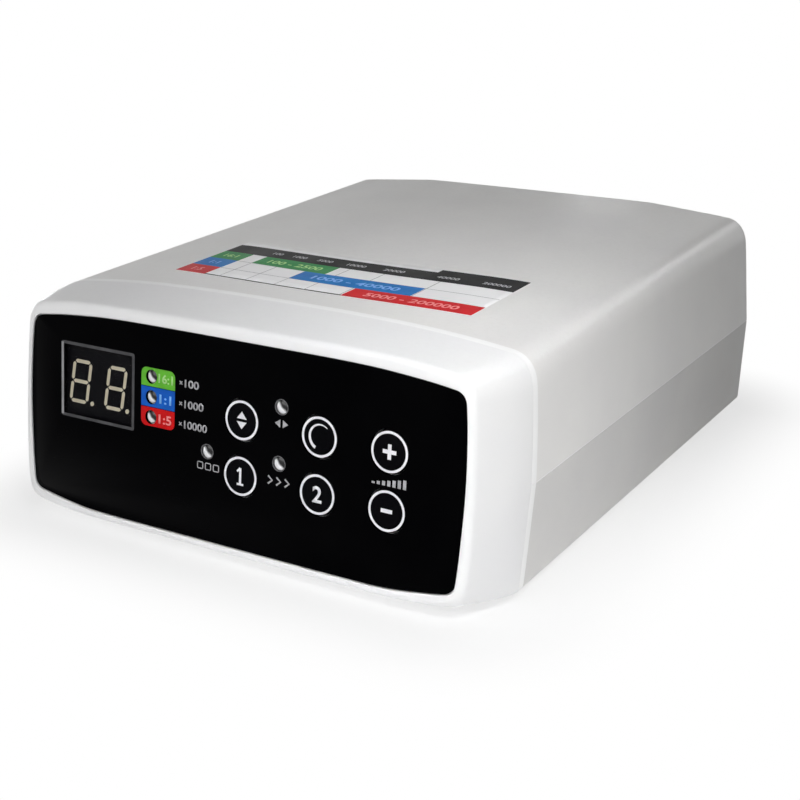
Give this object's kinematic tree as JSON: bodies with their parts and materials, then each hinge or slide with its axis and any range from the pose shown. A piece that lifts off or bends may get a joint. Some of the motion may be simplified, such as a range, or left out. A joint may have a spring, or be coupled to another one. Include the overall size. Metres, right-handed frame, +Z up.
{
  "type": "dental micromotor control unit",
  "caption": "Desk-top control box with a sloping glossy key panel, a two-digit display, indicator lamps, and rear sockets and hose fittings for a dental handpiece motor.",
  "frame": {"origin": "centre of the bounding box's footprint, on the plane of the rubber feet", "axes": "+X to the right seen from the front, +Y from the key panel to the rear, +Z up"},
  "size_m": [0.1786, 0.2196, 0.0761],
  "materials": {
    "shell_white": "moulded light grey-white ABS, fine satin texture",
    "bezel_white": "bright white gloss ABS",
    "gloss_black": "black glossy sheet with white print",
    "window_clear": "clear smoked acrylic window",
    "module_black": "dark display face with unlit pale segments",
    "lamp_clear": "clear moulded lamp lens",
    "switch_black": "black moulded nylon",
    "board_green": "green circuit board",
    "ribbon_grey": "grey flat cable",
    "aluminium": "extruded aluminium",
    "capacitor_sleeve": "dark blue shrink sleeve",
    "zinc_screw": "zinc-plated steel",
    "foot_rubber": "black rubber",
    "rear_plate": "light grey moulded plate",
    "nickel": "nickel-plated brass",
    "manifold_grey": "grey acetal block",
    "air_tube": "blue polyurethane tube",
    "lead_black": "black sleeved wire",
    "chart_film": "printed white film with coloured bars"
  },
  "bodies": {
    "case": {"top_cover": "shell_white", "bottom_case": "shell_white", "front_bezel": "bezel_white", "front_panel": "gloss_black", "display_window": "window_clear", "rear_panel": "rear_plate", "switch_frame": "switch_black", "power_jack": "switch_black", "motor_socket": "switch_black", "air_inlet_fitting": "nickel", "air_outlet_fitting": "nickel", "foot_1": "foot_rubber", "foot_2": "foot_rubber", "foot_3": "foot_rubber", "foot_4": "foot_rubber", "display_board": "board_green", "ribbon_cable": "ribbon_grey", "main_board": "board_green", "heat_sink": "aluminium", "capacitor_1": "capacitor_sleeve", "capacitor_2": "capacitor_sleeve", "display_module": "module_black", "air_manifold": "manifold_grey", "air_valve": "switch_black", "air_sensor": "switch_black", "air_tube_inlet": "air_tube", "air_tube_outlet": "air_tube", "air_tube_sensor": "air_tube", "motor_lead": "lead_black", "power_lead": "lead_black", "motor_socket_nut": "nickel", "switch_ratio": "switch_black", "switch_memory_1": "switch_black", "switch_direction": "switch_black", "switch_memory_2": "switch_black", "switch_plus": "switch_black", "switch_minus": "switch_black", "main_board_screw_1": "zinc_screw", "main_board_screw_2": "zinc_screw", "display_board_screw_1": "zinc_screw", "display_board_screw_2": "zinc_screw", "speed_chart": "chart_film", "case_screw_1": "zinc_screw", "case_screw_2": "zinc_screw", "case_screw_3": "zinc_screw", "case_screw_4": "zinc_screw", "ratio_lamp_1": "lamp_clear", "ratio_lamp_2": "lamp_clear", "ratio_lamp_3": "lamp_clear", "status_lamp_1": "lamp_clear", "status_lamp_2": "lamp_clear", "status_lamp_3": "lamp_clear"},
    "key_ratio": {"key_ratio": "gloss_black"},
    "key_memory_1": {"key_memory_1": "gloss_black"},
    "key_direction": {"key_direction": "gloss_black"},
    "key_memory_2": {"key_memory_2": "gloss_black"},
    "key_plus": {"key_plus": "gloss_black"},
    "key_minus": {"key_minus": "gloss_black"},
    "rocker": {"switch_rocker": "switch_black"}
  },
  "joints": [
    {"name": "key_ratio_press", "type": "slide", "parent": "case", "child": "key_ratio", "axis": [0, 0.9914, -0.1305], "range_m": [0, 0.0005], "stiffness_N_per_m": 600},
    {"name": "key_memory_1_press", "type": "slide", "parent": "case", "child": "key_memory_1", "axis": [0, 0.9914, -0.1305], "range_m": [0, 0.0005], "stiffness_N_per_m": 600},
    {"name": "key_direction_press", "type": "slide", "parent": "case", "child": "key_direction", "axis": [0, 0.9914, -0.1305], "range_m": [0, 0.0005], "stiffness_N_per_m": 600},
    {"name": "key_memory_2_press", "type": "slide", "parent": "case", "child": "key_memory_2", "axis": [0, 0.9914, -0.1305], "range_m": [0, 0.0005], "stiffness_N_per_m": 600},
    {"name": "key_plus_press", "type": "slide", "parent": "case", "child": "key_plus", "axis": [0, 0.9914, -0.1305], "range_m": [0, 0.0005], "stiffness_N_per_m": 600},
    {"name": "key_minus_press", "type": "slide", "parent": "case", "child": "key_minus", "axis": [0, 0.9914, -0.1305], "range_m": [0, 0.0005], "stiffness_N_per_m": 600},
    {"name": "rocker_hinge", "type": "hinge", "parent": "case", "child": "rocker", "pos_m": [-0.06, 0.09715, 0.0388], "axis": [1, 0, 0], "range_deg": [0, 16]}
  ]
}
